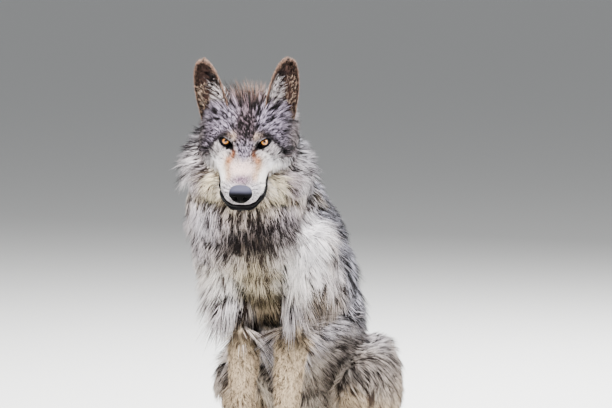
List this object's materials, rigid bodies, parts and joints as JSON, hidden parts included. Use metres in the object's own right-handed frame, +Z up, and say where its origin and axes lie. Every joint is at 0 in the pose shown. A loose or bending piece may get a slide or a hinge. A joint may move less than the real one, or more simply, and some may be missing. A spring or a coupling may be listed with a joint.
{
  "type": "timber wolf",
  "caption": "Life-size timber wolf sitting upright on its haunches, forelegs straight and head facing forward, with a full grizzled winter ruff.",
  "frame": {"origin": "on the floor, under the middle of the model's bounding box", "axes": "+Z up, the wolf faces -Y, and its left side and the tail's sweep are towards +X"},
  "size_m": [0.5084, 0.8912, 0.8744],
  "materials": {
    "head_fur": "short grizzled grey fur with black tips, lying flat back from the nose",
    "face_fur": "very short cream and buff fur of the muzzle and jaw, with black lips",
    "ear_fur": "short cinnamon fur outside, dark skin with pale hairs inside",
    "ruff_fur": "long damp-looking locks, pale grey and cream with a dark brown bib",
    "body_fur": "long grizzled fur with a black saddle and pale flanks",
    "leg_fur": "short dense tawny and cream fur",
    "nose_leather": "moist black pebbled leather",
    "amber_eye": "glossy amber iris with a small round black pupil",
    "claw_horn": "dark horn, worn semi-gloss"
  },
  "bodies": {
    "root": {"belly": "body_fur", "chest": "ruff_fur", "claw_fore_left_1": "claw_horn", "claw_fore_left_2": "claw_horn", "claw_fore_left_3": "claw_horn", "claw_fore_left_4": "claw_horn", "claw_fore_right_1": "claw_horn", "claw_fore_right_2": "claw_horn", "claw_fore_right_3": "claw_horn", "claw_fore_right_4": "claw_horn", "claw_hind_left_1": "claw_horn", "claw_hind_left_2": "claw_horn", "claw_hind_left_3": "claw_horn", "claw_hind_left_4": "claw_horn", "claw_hind_right_1": "claw_horn", "claw_hind_right_2": "claw_horn", "claw_hind_right_3": "claw_horn", "claw_hind_right_4": "claw_horn", "dewclaw_left": "claw_horn", "dewclaw_right": "claw_horn", "ear_left": "ear_fur", "ear_right": "ear_fur", "eye_left": "amber_eye", "eye_right": "amber_eye", "forearm_left": "leg_fur", "forearm_right": "leg_fur", "forefoot_left": "leg_fur", "forefoot_right": "leg_fur", "head": "head_fur", "hindfoot_left": "leg_fur", "hindfoot_right": "leg_fur", "lower_jaw": "face_fur", "muzzle": "face_fur", "neck": "ruff_fur", "nose": "nose_leather", "rump": "body_fur", "shank_left": "leg_fur", "shank_right": "leg_fur", "tail_end": "body_fur", "tail_root": "body_fur", "thigh_left": "leg_fur", "thigh_right": "leg_fur", "upper_arm_left": "leg_fur", "upper_arm_right": "leg_fur"}
  },
  "joints": []
}
